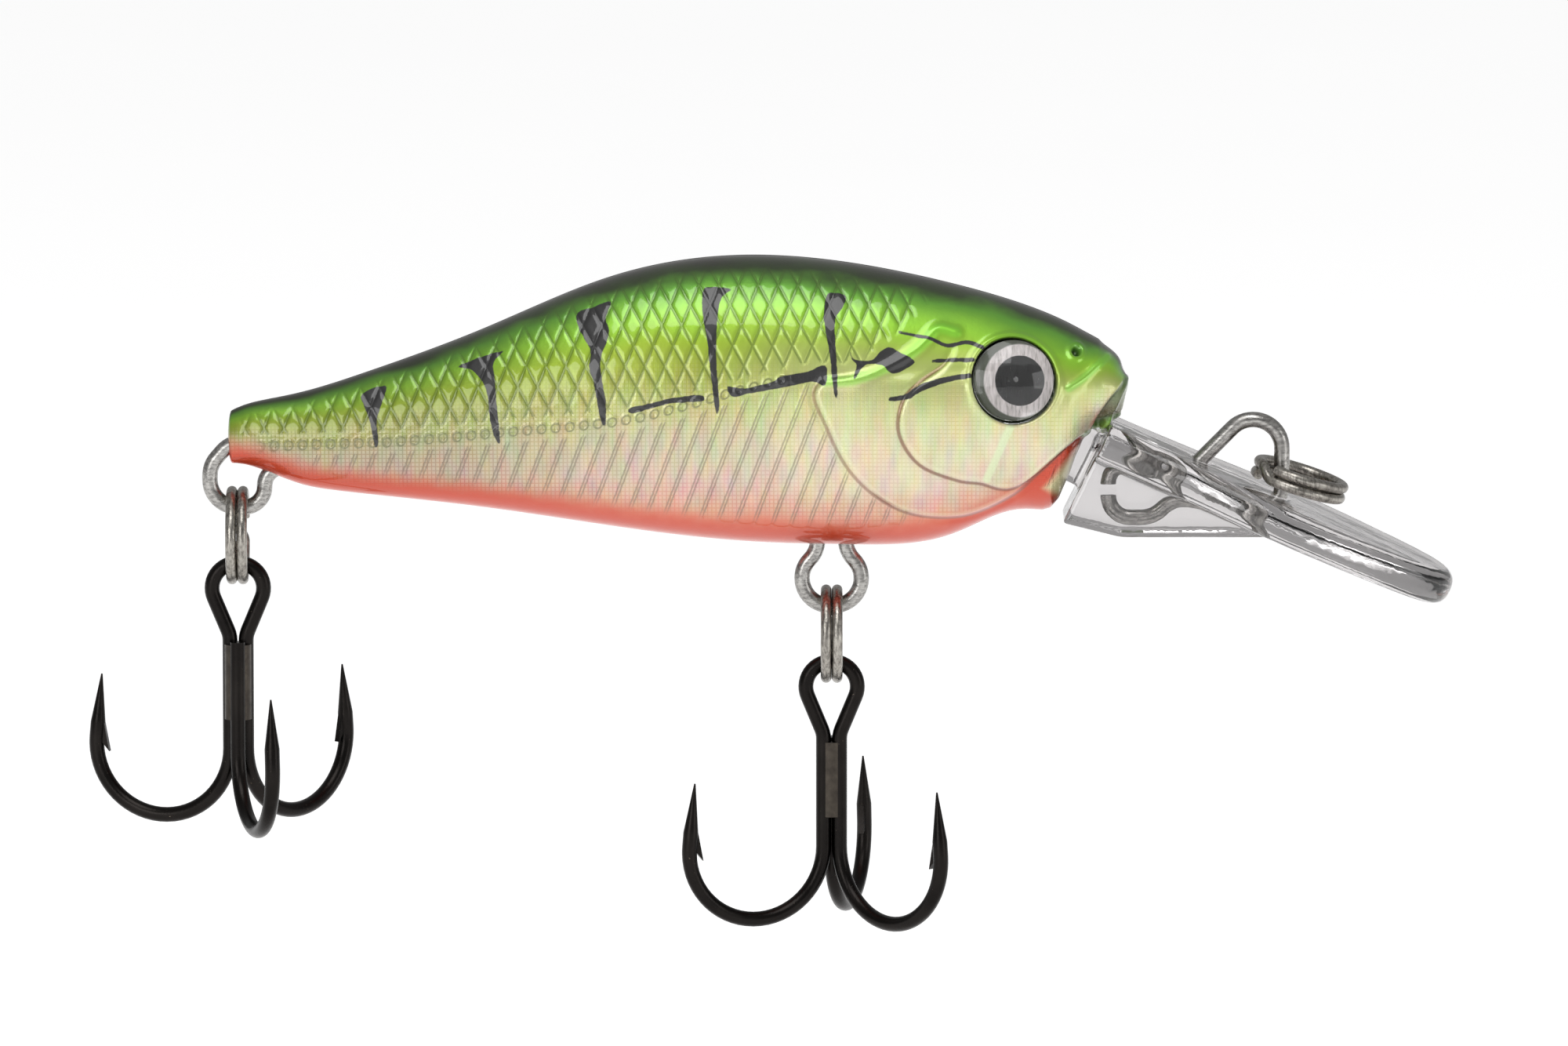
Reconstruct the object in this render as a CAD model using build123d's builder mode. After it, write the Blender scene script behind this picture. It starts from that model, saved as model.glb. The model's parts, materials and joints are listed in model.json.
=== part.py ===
from build123d import *
from math import asin, atan2, cos, hypot, pi, radians, sin, tan
import os

# Crankbait lure: a two-piece hollow fish body with a clear diving bib, wire hangers, split rings and trebles.
#
# Frame: +X towards the nose and the bib, +Z up, +Y the fish's left side. The origin is the centre of the
# line-tie eye, the wire loop that the fishing line pulls on.

os.makedirs("parts", exist_ok=True)

# ---- Body: overall sizes -------------------------------------------------------------------------------
body_length = 55.0
body_height = 17.8
body_width = 10.4
nose_x = -7.5            # nose tip, measured from the line-tie eye
axis_z = 3.0             # height of the body's long axis above the line-tie eye
wall = 1.2               # shell wall
glue_gap = 0.03          # room for cement between parts that are bonded
slip_gap = 0.05          # room around a locating pin

# The outline of the fish, as shares of its length (from the nose), height (about the axis) and width:
# station, top, bottom, width. Stations ahead of the nose are cut away by the slanted face of the head.
body_stations = [
    (-0.030, -0.05, -0.22, 0.20),
    (0.006, 0.125, -0.31, 0.44),
    (0.028, 0.19, -0.365, 0.58),
    (0.076, 0.278, -0.39, 0.72),
    (0.122, 0.334, -0.374, 0.82),
    (0.191, 0.396, -0.458, 0.92),
    (0.296, 0.465, -0.499, 1.00),
    (0.433, 0.497, -0.485, 0.99),
    (0.573, 0.424, -0.434, 0.88),
    (0.711, 0.248, -0.371, 0.67),
    (0.849, 0.089, -0.323, 0.46),
    (0.927, 0.017, -0.287, 0.34),
    (0.973, -0.011, -0.23, 0.24),
    (0.997, -0.045, -0.135, 0.11),
]
# The hollow follows the same outline, and is cut off flat at the tail end.
first_hollow, last_hollow = 2, 11
hollow_end = 0.849

# ---- Head: slanted face, mouth and eyes ----------------------------------------------------------------
face_angle = 25.8        # the face leans back from vertical
face_z = axis_z + 1.3    # height of the face's top edge, at the nose tip
eye_x = nose_x - 7.1
eye_z = axis_z + 1.7
eye_diameter = 4.9
eye_yaw, eye_pitch = 9.0, 9.0
socket_gap = 0.1
socket_depth = 1.0
disc_thickness = 0.25
lens_rise = 0.75

# ---- Bib: clear diving lip -----------------------------------------------------------------------------
bib_angle = 24.0         # blade slopes down and forward
bib_root_x = nose_x - 1.1
bib_root_z = axis_z - 1.25
bib_length = 23.1
bib_width = 12.4
bib_root_width = 7.6
bib_thickness = 2.2
bib_edge = 0.85
stem_width = 5.2
stem_bottom_z = -5.15
stem_end_x = 0.6
tang_width = 3.0
tang_length = 5.5
tang_height = 3.6
tang_drop = -5.4         # the tang's centre, down the face from its top edge

# ---- Wire forms ----------------------------------------------------------------------------------------
wire_diameter = 0.95
tie_eye_radius = 1.77    # centreline of the line-tie eye
anchor_radius = 1.7      # centreline of the loop that is moulded into the stem
anchor_x, anchor_z = -7.1, -2.4
tie_foot_z = -4.05       # the front leg turns back here, inside the blade
belly_floor_z = axis_z - 0.499 * body_height    # underside of the body at the belly hanger
belly_eye_x = nose_x - 18.1
belly_eye_z = belly_floor_z - 1.968
belly_eye_radius = 1.8
belly_leg_half_gap = 0.85
tail_eye_x = nose_x - body_length + 0.75
tail_eye_z = axis_z - 0.277 * body_height
tail_eye_radius = 1.66
hanger_depth = 3.4       # length of each hanger leg inside the body
hanger_foot = 1.3        # outward foot that locks the leg

# ---- Split rings ---------------------------------------------------------------------------------------
ring_outer_diameter = 6.0
ring_wire = 0.66
ring_turn_gap = 0.01     # between the two turns
ring_step_angle = 17.0   # half the angle over which the wire steps from one turn to the other
ring_play = 0.13         # slack between a ring and the hanger that it hangs from
tie_ring_slope = 17.5    # the front ring leans down over the bib
tie_ring_x, tie_ring_z = 0.31, -1.10    # where the front ring's rear wires rest inside the line-tie eye

# ---- Treble hooks --------------------------------------------------------------------------------------
hook_length = 16.6
hook_wire = 0.92
hook_reach = 8.7         # from the shank's axis to each point
hook_eye_inner = 1.10    # radius of the eye's round top, inside the wire
hook_neck = 4.9          # the eye closes this far below its top
hook_braze_end = 10.0    # the three shanks are brazed together down to here
hook_point = 9.0         # point above the lowest part of the bend
hook_taper = 3.0
hook_tip_radius = 0.05
hook_lean = 5.0          # the points lean in
barb_drop, barb_length, barb_stand = 4.7, 1.9, 0.45
shank_gap = 0.06         # braze metal between neighbouring shanks
eye_slack = 0.13         # hook hinge above the centre of the eye's round top
hook_hinge_drop = 0.47   # hook hinge below the centre of the ring's two wires
braze_radius = 0.82
rear_turn, front_turn = 15.0, -13.0

# ---- Loose and fixed weights ---------------------------------------------------------------------------
weight_diameter, weight_length = 4.4, 5.0
weight_x = belly_eye_x + belly_leg_half_gap + hanger_foot + 0.55 + weight_length / 2
weight_z = axis_z - 0.258 * body_height
ball_diameter = 3.2
ball_gap = 0.2
rattle_x = belly_eye_x - 11.4    # middle of the rattle tube
rattle_z = axis_z - 0.6
rattle_travel = 2.5
tube_wall = 0.9
bulkhead = 1.2
pin_diameter, pin_length = 1.5, 1.4

wire_radius = wire_diameter / 2
ring_radius = (ring_outer_diameter - ring_wire) / 2
ring_pitch = ring_wire + ring_turn_gap
hook_radius = hook_wire / 2
hook_eye_radius = hook_eye_inner + hook_radius


def finish(solid, name):
    """Names a finished piece and writes it."""
    solid.label = name
    export_step(solid, f"parts/{name}.step")


def bent_wire(points, largest_radius, radius):
    """A round wire along straight runs in the XZ plane, with each corner bent as widely as its runs allow."""
    runs = [Vector(*end) - Vector(*start) for start, end in zip(points, points[1:])]
    half_tans = [tan(radians(before.get_angle(after) / 2)) for before, after in zip(runs, runs[1:])]
    setbacks = [0, *(largest_radius * half_tan for half_tan in half_tans), 0]
    for index, run in enumerate(runs):
        crowding = (setbacks[index] + setbacks[index + 1]) / (0.99 * run.length)
        if crowding > 1:
            setbacks[index] /= crowding
            setbacks[index + 1] /= crowding
    bends = [setback / half_tan for setback, half_tan in zip(setbacks[1:], half_tans)]
    with BuildPart() as wire:
        with BuildLine(Plane.XZ) as route:
            FilletPolyline(*points, radius=bends)
        with BuildSketch(Plane(origin=route.line @ 0, z_dir=route.line % 0)):
            Circle(radius)
        sweep(path=route.line)
    return wire.part


def station_plane(share):
    """The cross-section plane at a share of the body's length, counted from the nose."""
    return Plane.YZ.offset(nose_x - share * body_length)


def body_form(stations, inset):
    """The fish as a loft through elliptical sections, each drawn in by the inset."""
    with BuildPart() as form:
        for share, top, bottom, width in stations:
            high = axis_z + top * body_height - inset
            low = axis_z + bottom * body_height + inset
            with BuildSketch(station_plane(share)):
                with Locations((0, (high + low) / 2)):
                    Ellipse(width * body_width / 2 - inset, (high - low) / 2)
        loft()
    return form.part


def flank_y(x, z):
    """Half the body's width at a place on its flank."""
    share = (nose_x - x) / body_length
    for near, far in zip(body_stations, body_stations[1:]):
        if near[0] <= share <= far[0]:
            mix = (share - near[0]) / (far[0] - near[0])
            top, bottom, width = (a + mix * (b - a) for a, b in zip(near[1:], far[1:]))
    middle = axis_z + (top + bottom) / 2 * body_height
    offset = (z - middle) / ((top - bottom) / 2 * body_height)
    return width * body_width / 2 * (1 - offset**2) ** 0.5


def eye_plane(side):
    """The plane that an eye sits on, facing outward; side is -1 for the right eye and +1 for the left."""
    yaw, pitch = radians(eye_yaw), radians(eye_pitch)
    outward = Vector(sin(yaw), side * cos(yaw) * cos(pitch), sin(pitch))
    forward = Vector(0, 0, 1).cross(outward)
    return Plane(origin=(eye_x, side * flank_y(eye_x, eye_z), eye_z), x_dir=forward, z_dir=outward)


# The bib's blade lies in this plane: x runs down the blade, y across it, z out of its top face.
blade_plane = Plane(
    origin=(bib_root_x, 0, bib_root_z),
    x_dir=(cos(radians(bib_angle)), 0, -sin(radians(bib_angle))),
    z_dir=(sin(radians(bib_angle)), 0, cos(radians(bib_angle))),
)
# The head ends at this plane, which faces forward and down.
face_plane = Plane(
    origin=(nose_x, 0, face_z),
    x_dir=(0, 1, 0),
    z_dir=(cos(radians(face_angle)), 0, -sin(radians(face_angle))),
)


# ---- Line-tie wire: an eye above the bib and an anchor loop inside the stem ------------------------------
anchor_left = anchor_x - anchor_radius
tie_route = [
    (anchor_left, anchor_z - 0.35),
    (anchor_left, anchor_z - anchor_radius),
    (anchor_x + 1.0, anchor_z - anchor_radius),
    (anchor_x + 2.2, anchor_z - 0.6),
    (-2.7, anchor_z - 0.6),
    (-0.6, tie_foot_z),
    (tie_eye_radius, tie_foot_z),
    (tie_eye_radius, tie_eye_radius),
    (-0.414 * tie_eye_radius, tie_eye_radius),
    (-4.2, -1.72),
    (anchor_x + 1.5, anchor_z + 0.65),
    (anchor_x + 0.9, anchor_z + anchor_radius),
    (anchor_left, anchor_z + anchor_radius),
    (anchor_left, anchor_z + 0.35),
]

# ---- Belly hanger: an omega loop with two feet inside the body -------------------------------------------
belly_foot_z = belly_floor_z + hanger_depth
leg_left = belly_eye_x - belly_leg_half_gap
leg_right = belly_eye_x + belly_leg_half_gap
neck_z = belly_eye_z + 1.55
shoulder_z = belly_eye_z + 0.55
belly_bottom_z = belly_eye_z - belly_eye_radius
belly_route = [
    (leg_left - hanger_foot, belly_foot_z),
    (leg_left, belly_foot_z),
    (leg_left, neck_z),
    (belly_eye_x - belly_eye_radius, shoulder_z),
    (belly_eye_x - belly_eye_radius, belly_bottom_z),
    (belly_eye_x + belly_eye_radius, belly_bottom_z),
    (belly_eye_x + belly_eye_radius, shoulder_z),
    (leg_right, neck_z),
    (leg_right, belly_foot_z),
    (leg_right + hanger_foot, belly_foot_z),
]

# ---- Tail hanger: a round eye under the tail, with two legs running forward into the body ----------------
tail_upper_z = axis_z - 0.146 * body_height
tail_lower_z = axis_z - 0.23 * body_height
tail_bottom_z = tail_eye_z - tail_eye_radius
tail_leg_end = tail_eye_x + tail_eye_radius + hanger_depth
tail_route = [
    (tail_leg_end, tail_upper_z + hanger_foot),
    (tail_leg_end, tail_upper_z),
    (tail_eye_x - 0.4, tail_upper_z),
    (tail_eye_x - tail_eye_radius, tail_eye_z + 0.9),
    (tail_eye_x - tail_eye_radius, tail_bottom_z),
    (tail_eye_x + tail_eye_radius, tail_bottom_z),
    (tail_eye_x + tail_eye_radius, tail_eye_z + 0.25),
    (tail_eye_x + tail_eye_radius + 0.9, tail_lower_z),
    (tail_leg_end + 0.8, tail_lower_z),
]

line_tie_wire = bent_wire(tie_route, tie_eye_radius, wire_radius)
belly_hanger = bent_wire(belly_route, belly_eye_radius, wire_radius)
tail_hanger = bent_wire(tail_route, tail_eye_radius, wire_radius)
for wire, name in ((line_tie_wire, "line_tie_wire"), (belly_hanger, "belly_hanger"), (tail_hanger, "tail_hanger")):
    finish(wire, name)

# ---- Bib: blade, stem round the wire, and a tang that is glued into the head ------------------------------
with BuildPart() as bib:
    with BuildSketch(blade_plane):
        with BuildLine():
            side = Spline(
                (-2.0, bib_root_width / 2),
                (0.22 * bib_length, 0.37 * bib_width),
                (0.47 * bib_length, 0.49 * bib_width),
                (0.79 * bib_length, 0.41 * bib_width),
                (bib_length, 0),
                tangents=((1, 0), (0, -1)),
            )
            Line(side @ 0, (-2.0, 0))
            Line((-2.0, 0), side @ 1)
        make_face()
        mirror(about=Plane.XZ)
    extrude(amount=-bib_thickness)
    fillet(bib.faces().filter_by(Axis(blade_plane.origin, blade_plane.z_dir)).edges(), bib_edge)
    stem_tip_z = stem_bottom_z + 0.6 * bib_thickness
    with BuildSketch(Plane.XZ):
        with BuildLine():
            Polyline(
                (-9.5, 1.3),
                (stem_end_x, stem_tip_z),
                (stem_end_x + 0.9, stem_bottom_z),
                (-8.0, stem_bottom_z),
                (-12.2, axis_z - 0.4 * body_height),
                close=True,
            )
        make_face()
    extrude(amount=stem_width / 2, both=True)
    split(bisect_by=face_plane.offset(glue_gap), keep=Keep.TOP)
    with BuildSketch(face_plane.offset(glue_gap)):
        with Locations((0, tang_drop)):
            Rectangle(tang_width, tang_height)
    extrude(amount=-tang_length)
    add(line_tie_wire, mode=Mode.SUBTRACT)
finish(bib.part, "bib")


# ---- Body shells: two halves of a hollow fish, glued on the middle plane ----------------------------------
hollow_stations = body_stations[first_hollow:last_hollow + 1]
rattle_length = 2 * ball_diameter + 2 * rattle_travel + 3 * ball_gap
rattle_back = rattle_x - rattle_length / 2
rattle_front = rattle_x + rattle_length / 2
tube_radius = ball_diameter / 2 + ball_gap
belly_block_top = belly_foot_z + wire_radius + 2.4
pin_places = [
    (nose_x - 5.7, axis_z + 0.219 * body_height),
    (belly_eye_x, belly_foot_z + wire_radius + 1.3),
    (tail_leg_end + 1.62, axis_z - 0.056 * body_height),
]

with BuildPart() as cavity:
    add(body_form(hollow_stations, wall))
    split(bisect_by=station_plane(hollow_end), keep=Keep.TOP)
    split(bisect_by=face_plane.offset(-tang_length - wall), keep=Keep.BOTTOM)
    # Bulkheads at both ends of the rattle chamber.
    for start in (rattle_back - bulkhead, rattle_front):
        with BuildSketch(Plane.YZ.offset(start)):
            Rectangle(3 * body_width, 3 * body_height)
        extrude(amount=bulkhead, mode=Mode.SUBTRACT)
    # The rattle tube joins the two bulkheads.
    with BuildSketch(Plane.YZ.offset(rattle_back)):
        with Locations((0, rattle_z)):
            Circle(tube_radius + tube_wall)
    extrude(amount=rattle_length, mode=Mode.SUBTRACT)
    # A block of plastic grips the belly hanger and carries a locating pin.
    with BuildSketch(Plane.XZ):
        with Locations((belly_eye_x, (belly_floor_z + belly_block_top) / 2)):
            Rectangle(2 * (belly_leg_half_gap + hanger_foot + wall), belly_block_top - belly_floor_z)
    extrude(amount=body_width, both=True, mode=Mode.SUBTRACT)
    # A sleeve grips the fixed weight.
    with BuildSketch(Plane.YZ.offset(weight_x - weight_length / 2 - wall)):
        with Locations((0, weight_z)):
            Circle(weight_diameter / 2 + tube_wall)
    extrude(amount=weight_length + 2 * wall, mode=Mode.SUBTRACT)
    # Pads behind the eye sockets keep the wall whole.
    for side in (-1, 1):
        with BuildSketch(eye_plane(side).offset(-socket_depth - wall)):
            Circle(eye_diameter / 2 + wall)
        extrude(amount=2 * wall, mode=Mode.SUBTRACT)

with BuildPart() as body_block:
    add(body_form(body_stations, 0))
    split(bisect_by=face_plane, keep=Keep.BOTTOM)
    add(cavity.part, mode=Mode.SUBTRACT)
    with BuildSketch(face_plane):
        with Locations((0, tang_drop)):
            Rectangle(tang_width + 2 * glue_gap, tang_height + 2 * glue_gap)
    extrude(amount=-tang_length - glue_gap, mode=Mode.SUBTRACT)
    with BuildSketch(Plane.YZ.offset(rattle_back)):
        with Locations((0, rattle_z)):
            Circle(tube_radius)
    extrude(amount=rattle_length, mode=Mode.SUBTRACT)
    with BuildSketch(Plane.YZ.offset(weight_x - weight_length / 2 - glue_gap)):
        with Locations((0, weight_z)):
            Circle(weight_diameter / 2 + glue_gap)
    extrude(amount=weight_length + 2 * glue_gap, mode=Mode.SUBTRACT)
    for side in (-1, 1):
        with BuildSketch(eye_plane(side).offset(-socket_depth)):
            Circle(eye_diameter / 2 + socket_gap)
        extrude(amount=4 * socket_depth, mode=Mode.SUBTRACT)
    add(bent_wire(belly_route, belly_eye_radius, wire_radius + glue_gap), mode=Mode.SUBTRACT)
    add(bent_wire(tail_route, tail_eye_radius, wire_radius + glue_gap), mode=Mode.SUBTRACT)

with BuildPart() as right_body_shell:
    add(body_block.part)
    split(bisect_by=Plane.XZ, keep=Keep.TOP)
    with BuildSketch(Plane.XZ.offset(pin_length)):
        with Locations(*pin_places):
            Circle(pin_diameter / 2)
    extrude(amount=-2 * pin_length)
finish(right_body_shell.part, "right_body_shell")

with BuildPart() as left_body_shell:
    add(body_block.part)
    split(bisect_by=Plane.XZ, keep=Keep.BOTTOM)
    with BuildSketch(Plane.XZ):
        with Locations(*pin_places):
            Circle(pin_diameter / 2 + slip_gap)
    extrude(amount=-pin_length - slip_gap, mode=Mode.SUBTRACT)
finish(left_body_shell.part, "left_body_shell")


# ---- Eyes: a foil disc under a clear dome, glued into each socket -----------------------------------------
for side, hand in ((-1, "right"), (1, "left")):
    seat = eye_plane(side)
    profile_plane = Plane(origin=seat.origin, x_dir=seat.x_dir, z_dir=-seat.y_dir)
    disc_bottom = -socket_depth + glue_gap
    lens_bottom = disc_bottom + disc_thickness + glue_gap
    with BuildPart() as eye_disc:
        with BuildSketch(seat.offset(disc_bottom)):
            Circle(eye_diameter / 2)
        extrude(amount=disc_thickness)
    finish(eye_disc.part, f"{hand}_eye_disc")
    with BuildPart() as eye_lens:
        with BuildSketch(profile_plane):
            with BuildLine():
                Polyline((0, lens_rise), (0, lens_bottom), (eye_diameter / 2, lens_bottom), (eye_diameter / 2, 0))
                TangentArc((0, lens_rise), (eye_diameter / 2, 0), tangent=(1, 0))
            make_face()
        revolve(axis=Axis(seat.origin, seat.z_dir))
    finish(eye_lens.part, f"{hand}_eye_lens")


# ---- Weights inside the body ------------------------------------------------------------------------------
with BuildPart() as belly_weight:
    with BuildSketch(Plane.YZ.offset(weight_x - weight_length / 2)):
        with Locations((0, weight_z)):
            Circle(weight_diameter / 2)
    extrude(amount=weight_length)
finish(belly_weight.part, "belly_weight")

for name, direction in (("front_rattle_ball", 1), ("rear_rattle_ball", -1)):
    with BuildPart() as rattle_ball:
        with Locations((rattle_x + direction * (ball_diameter + ball_gap) / 2, 0, rattle_z)):
            Sphere(ball_diameter / 2)
    finish(rattle_ball.part, name)


# ---- Split rings: two turns of wire with a step between them ------------------------------------------------
def split_ring(plane, seam_angle, name):
    """A ring in the given plane whose wire steps from the upper turn to the lower one at the seam angle."""
    start = seam_angle + ring_step_angle
    sweep_angle = 360 - 2 * ring_step_angle
    with BuildPart() as ring:
        with BuildLine(plane) as route:
            upper = CenterArc((0, 0, ring_pitch / 2), ring_radius, start, sweep_angle)
            lower = CenterArc((0, 0, -ring_pitch / 2), ring_radius, start, sweep_angle)
            step = Spline(upper @ 1, lower @ 0, tangents=(upper % 1, lower % 0))
        with BuildSketch(Plane(origin=upper @ 0, z_dir=upper % 0)):
            Circle(ring_wire / 2)
        sweep(path=route.line)
    finish(ring.part, name)


ring_seat = wire_radius + ring_wire / 2 + ring_play
belly_ring_z = belly_bottom_z + ring_seat - ring_radius
tail_ring_z = tail_bottom_z + ring_seat - ring_radius
split_ring(Plane(origin=(belly_eye_x, 0, belly_ring_z), x_dir=(0, 1, 0), z_dir=(1, 0, 0)), 0, "belly_ring")
split_ring(Plane(origin=(tail_eye_x, 0, tail_ring_z), x_dir=(0, 1, 0), z_dir=(1, 0, 0)), 0, "tail_ring")
slope = radians(tie_ring_slope)
tie_ring_plane = Plane(
    origin=(tie_ring_x + ring_radius * cos(slope), 0, tie_ring_z - ring_radius * sin(slope)),
    x_dir=(cos(slope), 0, -sin(slope)),
    z_dir=(sin(slope), 0, cos(slope)),
)
split_ring(tie_ring_plane, 215, "line_tie_ring")


# ---- Treble hooks: a double hook bent from one wire, and a single hook brazed into its groove ----------------
shank_offset = (hook_wire + shank_gap) / 2
single_offset = shank_offset * 3**0.5


def hook_arm(shank, azimuth, eye_top_z, shank_top_z):
    """One arm: shank, round bend, and a leaning spear with its point and barb, in the azimuth's plane."""
    shank_x, shank_y, axis_x = shank
    tip_x = hook_reach * cos(radians(azimuth)) - shank_x
    tip_y = hook_reach * sin(radians(azimuth)) - shank_y
    reach = hypot(tip_x, tip_y)
    lean = radians(hook_lean)
    rise = hook_point - hook_radius
    bend = (reach + tan(lean) * rise) / (1 + cos(lean) + tan(lean) * (1 + sin(lean)))
    spear = (rise - bend * (1 + sin(lean))) / cos(lean)
    bend_z = eye_top_z - hook_length + hook_radius + bend
    outward = Vector(tip_x, tip_y, 0).normalized()
    arm_plane = Plane(
        origin=(axis_x + shank_x, shank_y, bend_z),
        x_dir=outward,
        z_dir=outward.cross(Vector(0, 0, 1)),
    )
    foot = (bend * (1 + cos(lean)), bend * sin(lean))
    along = (-sin(lean), cos(lean))
    inward = (-cos(lean), -sin(lean))

    def on_spear(back_from_tip, stand_off):
        """A point beside the spear: how far back from its tip, and how far in from its centreline."""
        run = spear - back_from_tip
        return (foot[0] + run * along[0] + stand_off * inward[0], foot[1] + run * along[1] + stand_off * inward[1])

    taper_start = on_spear(hook_taper, 0)
    with BuildPart() as arm:
        with BuildLine(arm_plane) as route:
            Line((0, shank_top_z - bend_z), (0, 0))
            CenterArc((bend, 0), bend, 180, 180 + hook_lean)
            Line(foot, taper_start)
        with BuildSketch(Plane(origin=route.line @ 0, z_dir=route.line % 0)):
            Circle(hook_radius)
        sweep(path=route.line)
        spear_direction = arm_plane.from_local_coords((*along, 0)) - arm_plane.origin
        with BuildSketch(Plane(origin=arm_plane.from_local_coords((*taper_start, 0)), z_dir=spear_direction)):
            Circle(hook_radius)
        with BuildSketch(Plane(origin=arm_plane.from_local_coords((*on_spear(0, 0), 0)), z_dir=spear_direction)):
            Circle(hook_tip_radius)
        loft()
        with BuildSketch(arm_plane):
            with BuildLine():
                Polyline(
                    on_spear(barb_drop - barb_length, 0),
                    on_spear(barb_drop - barb_length, 0.8 * hook_radius),
                    on_spear(barb_drop, hook_radius + barb_stand),
                    on_spear(barb_drop - 0.55, 0.8 * hook_radius),
                    on_spear(barb_drop - 0.55, 0),
                    close=True,
                )
            make_face()
        extrude(amount=0.4 * hook_radius, both=True)
    return arm.part


def treble(axis_x, ring_z, side, turn, prefix):
    """A treble hook hanging from a ring. The single hook is on the given side: -1 for -Y, +1 for +Y."""
    hinge_z = ring_z - ring_radius - hook_hinge_drop
    eye_center_z = hinge_z - eye_slack
    top_z = eye_center_z + hook_eye_radius
    eye_top_z = top_z + hook_radius
    neck_z = eye_top_z - hook_neck
    braze_end_z = eye_top_z - hook_braze_end
    drop = eye_center_z - neck_z
    flare = asin(hook_eye_radius / hypot(shank_offset, drop)) - atan2(shank_offset, drop)
    corner = hook_eye_radius * tan((pi / 2 + flare) / 2)
    eye_route = [
        (axis_x - shank_offset, braze_end_z),
        (axis_x - shank_offset, neck_z),
        (axis_x - corner, top_z),
        (axis_x + corner, top_z),
        (axis_x + shank_offset, neck_z),
        (axis_x + shank_offset, braze_end_z),
    ]
    left_azimuth = 180 + side * 30 + turn
    right_azimuth = -side * 30 + turn
    single_azimuth = side * 90 + turn
    left_shank = (-shank_offset, 0, axis_x)
    right_shank = (shank_offset, 0, axis_x)
    single_shank = (0, side * single_offset, axis_x)
    with BuildPart() as double_hook:
        add(bent_wire(eye_route, hook_eye_radius, hook_radius))
        add(hook_arm(left_shank, left_azimuth, eye_top_z, braze_end_z))
        add(hook_arm(right_shank, right_azimuth, eye_top_z, braze_end_z))
    finish(double_hook.part, f"{prefix}_double_hook")
    shank_top_z = neck_z - 0.3
    single_hook = hook_arm(single_shank, single_azimuth, eye_top_z, shank_top_z)
    finish(single_hook, f"{prefix}_single_hook")
    with BuildPart() as hook_braze:
        with BuildSketch(Plane.XY.offset(braze_end_z)):
            with Locations((axis_x, side * single_offset / 3)):
                Circle(braze_radius)
            with Locations((axis_x - shank_offset, 0), (axis_x + shank_offset, 0), (axis_x, side * single_offset)):
                Circle(hook_radius, mode=Mode.SUBTRACT)
        extrude(amount=shank_top_z - 0.2 - braze_end_z)
    finish(hook_braze.part, f"{prefix}_hook_braze")


treble(tail_eye_x, tail_ring_z, -1, rear_turn, "rear")
treble(belly_eye_x, belly_ring_z, 1, front_turn, "front")
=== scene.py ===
import json
import math

import bmesh
import bpy
import numpy as np
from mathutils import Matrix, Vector
from mathutils.bvhtree import BVHTree


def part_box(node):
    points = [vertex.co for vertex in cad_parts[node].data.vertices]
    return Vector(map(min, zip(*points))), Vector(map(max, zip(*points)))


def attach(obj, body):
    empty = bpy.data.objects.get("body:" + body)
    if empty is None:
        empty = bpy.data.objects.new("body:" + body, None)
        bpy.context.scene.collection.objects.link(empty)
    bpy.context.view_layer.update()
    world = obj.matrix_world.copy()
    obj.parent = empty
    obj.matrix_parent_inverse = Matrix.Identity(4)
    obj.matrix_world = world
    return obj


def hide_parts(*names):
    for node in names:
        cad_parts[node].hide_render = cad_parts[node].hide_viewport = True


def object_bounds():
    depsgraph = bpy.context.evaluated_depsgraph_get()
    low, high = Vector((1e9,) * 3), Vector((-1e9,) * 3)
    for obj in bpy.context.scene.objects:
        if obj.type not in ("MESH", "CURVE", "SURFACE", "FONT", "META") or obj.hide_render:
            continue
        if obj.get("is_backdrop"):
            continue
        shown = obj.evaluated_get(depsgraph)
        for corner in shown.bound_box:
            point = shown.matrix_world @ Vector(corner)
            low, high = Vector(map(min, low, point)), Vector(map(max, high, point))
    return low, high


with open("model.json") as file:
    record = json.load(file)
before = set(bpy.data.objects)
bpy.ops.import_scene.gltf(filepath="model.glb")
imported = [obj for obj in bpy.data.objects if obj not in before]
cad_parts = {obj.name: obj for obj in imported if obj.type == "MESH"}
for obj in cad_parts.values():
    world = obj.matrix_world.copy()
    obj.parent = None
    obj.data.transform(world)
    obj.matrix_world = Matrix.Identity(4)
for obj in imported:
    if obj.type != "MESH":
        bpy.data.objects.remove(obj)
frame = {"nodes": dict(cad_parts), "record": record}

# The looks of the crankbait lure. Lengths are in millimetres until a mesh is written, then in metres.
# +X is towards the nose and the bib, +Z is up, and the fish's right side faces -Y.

cad_low, cad_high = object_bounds()

MM = 0.001
PER_METRE = 1000              # millimetres
VIEW_ELEVATION = 8.0          # the camera looks down on the lure's flank by this much
VIEW_X, VIEW_Z = -28.5, -4.58
VIEW_WIDTH = 95.4             # what the picture is wide, at the lure
CAMERA_DISTANCE = 950.0
FLOOR_DROP = 14.0             # from the lowest hook to the floor
FLOOR_RADIUS = 6000.0
FLOOR_SIDES = 96
FLOOR_GLOW, WORLD_STRENGTH = 0.56, 0.4
SENSOR_WIDTH = 36.0

STATIONS, SPOKES = 520, 176   # quads along the body, and from back to belly
FACE_STEPS = 22               # quads across the slanted face, from its rim to the seam
TAIL_STEPS = 5
CROWN = 0.25                  # how far the mouth stands forward of the face, per millimetre below the nose
CROWN_REACH = 3.0             # below this distance from the nose the crown grows no more
TAIL_ROUNDING = 0.25
SEAM_SLIVER = 0.002           # the skin stays this far from the middle plane, apart from its seam
WELD = 0.0005                 # points of the skin closer than this are one
CAD_WELD = 0.0008             # and points of a CAD mesh

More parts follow.
